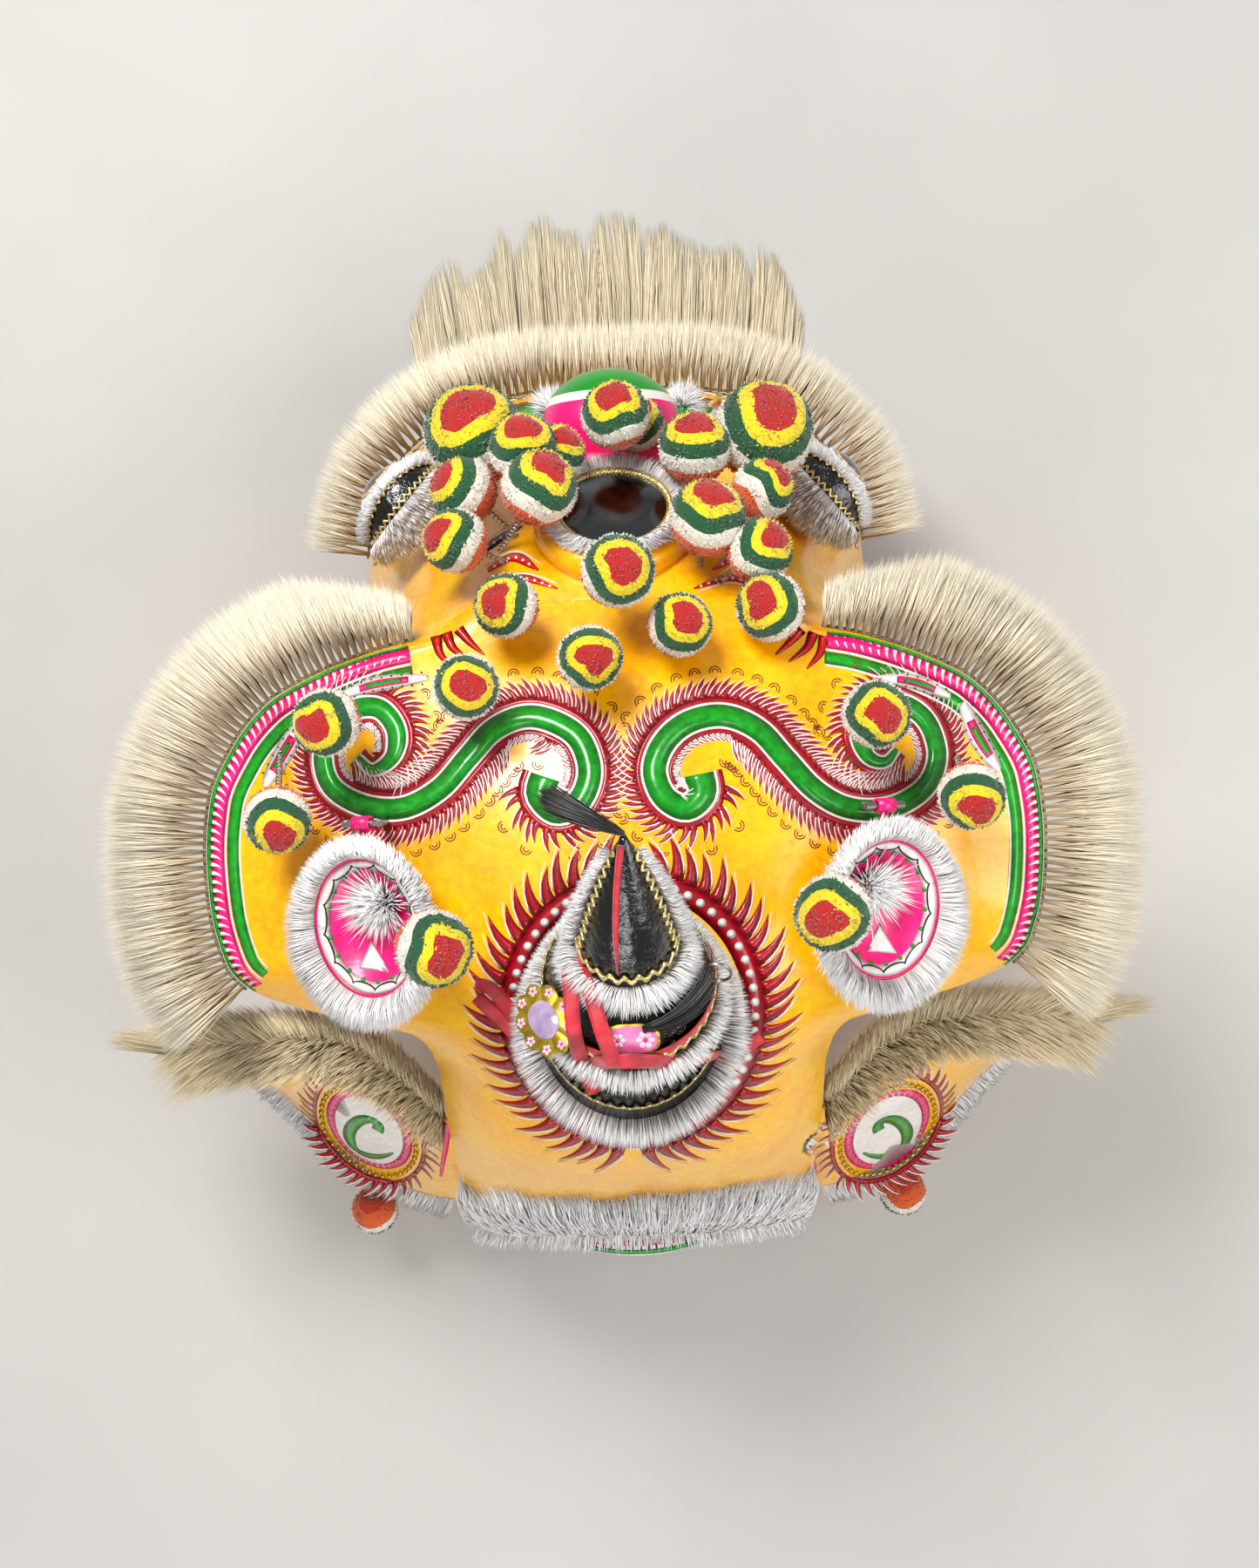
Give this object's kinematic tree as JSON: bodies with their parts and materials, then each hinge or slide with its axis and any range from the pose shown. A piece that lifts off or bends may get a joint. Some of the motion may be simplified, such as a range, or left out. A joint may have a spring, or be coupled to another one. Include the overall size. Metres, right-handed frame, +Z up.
{
  "type": "lion dance head",
  "caption": "Lion dance head standing on its rim: hollow hood and face with hinged jaw, ears and eyelids, horn, mirror, fins, pompoms and hair trims.",
  "frame": {"origin": "centre of the footprint's bounding box, on the surface that the head stands on", "axes": "+Z up, the lion faces -Y, +X to the lion's left"},
  "size_m": [0.8696, 0.9944, 0.6657],
  "materials": {
    "yellow_lacquer": "lacquered paper over bamboo, yellow",
    "red_lacquer": "lacquered paper, crimson",
    "pink_lacquer": "lacquered paper, magenta pink",
    "black_lacquer": "lacquered paper, black",
    "eyeball": "painted ball, white and black",
    "mirror_glass": "polished",
    "steel": "bare",
    "gold_plate": "gold coloured plate",
    "red_cloth": "woven ribbon, red",
    "black_hair": "long black hair",
    "cream_hair": "long cream wool hair",
    "white_fur": "white rabbit fur",
    "pompom_wool": "clipped wool in rings of red, yellow and green"
  },
  "bodies": {
    "head": {"crown_shell": "yellow_lacquer", "face_shell": "yellow_lacquer", "side_wall_left": "yellow_lacquer", "side_wall_right": "yellow_lacquer", "mirror_boss": "yellow_lacquer", "fin_left": "yellow_lacquer", "fin_right": "yellow_lacquer", "nose": "pink_lacquer", "horn_tag": "pink_lacquer", "horn_lower": "black_lacquer", "horn_middle": "black_lacquer", "horn_upper": "black_lacquer", "eye_left": "eyeball", "eye_right": "eyeball", "mirror": "mirror_glass", "ear_pin_left": "steel", "ear_pin_right": "steel", "horn_ring": "steel", "horn_plaque": "gold_plate", "horn_ribbon": "red_cloth", "horn_tuft_front": "black_hair", "horn_tuft_back": "black_hair", "brow_hair_left": "cream_hair", "brow_hair_right": "cream_hair", "lip_hair": "cream_hair", "fin_hair_upper_left": "cream_hair", "fin_hair_upper_right": "cream_hair", "mirror_fur": "white_fur", "horn_fur_lower": "white_fur", "horn_fur_middle": "white_fur", "horn_fur_upper": "white_fur", "fin_hair_lower_left": "white_fur", "fin_hair_lower_right": "white_fur", "hem_hair": "white_fur", "hem_plate": "white_fur", "pompom_temple_left": "pompom_wool", "pompom_snout": "pompom_wool", "pompom_temple_right": "pompom_wool", "pompom_brow_right": "pompom_wool", "pompom_forehead_left": "pompom_wool", "pompom_forehead_mid": "pompom_wool", "pompom_forehead_right": "pompom_wool", "pompom_crown_mid": "pompom_wool", "pompom_crown_left": "pompom_wool", "pompom_lobe_left": "pompom_wool", "pompom_lobe_back_left": "pompom_wool", "pompom_lobe_right": "pompom_wool", "pompom_lobe_back_right": "pompom_wool"},
    "jaw": {"lower_jaw": "red_lacquer", "beard": "cream_hair"},
    "eyelid_left": {"eyelid_left": "black_lacquer"},
    "eyelid_right": {"eyelid_right": "black_lacquer"},
    "ear_left": {"ear_left": "pink_lacquer", "ear_fur_left": "white_fur", "pompom_ear_left": "pompom_wool"},
    "ear_right": {"ear_right": "pink_lacquer", "ear_fur_right": "white_fur", "pompom_ear_right": "pompom_wool"}
  },
  "joints": [
    {"name": "jaw_close", "type": "hinge", "parent": "head", "child": "jaw", "pos_m": [0, -0.08243, 0.12], "axis": [-1, 0, 0], "range_deg": [0, 32]},
    {"name": "eyelid_left_blink", "type": "hinge", "parent": "head", "child": "eyelid_left", "pos_m": [0.17015, -0.15539, 0.29992], "axis": [0.6525, 0.7578, 0], "range_deg": [0, 40]},
    {"name": "eyelid_right_blink", "type": "hinge", "parent": "head", "child": "eyelid_right", "pos_m": [-0.17015, -0.15539, 0.29992], "axis": [0.6525, -0.7578, 0], "range_deg": [0, 40]},
    {"name": "ear_left_flap", "type": "hinge", "parent": "head", "child": "ear_left", "pos_m": [0.18627, 0.09913, 0.49938], "axis": [0.912, 0, -0.4101], "range_deg": [0, 25]},
    {"name": "ear_right_flap", "type": "hinge", "parent": "head", "child": "ear_right", "pos_m": [-0.18627, 0.09913, 0.49938], "axis": [0.912, 0, 0.4101], "range_deg": [0, 25]}
  ]
}
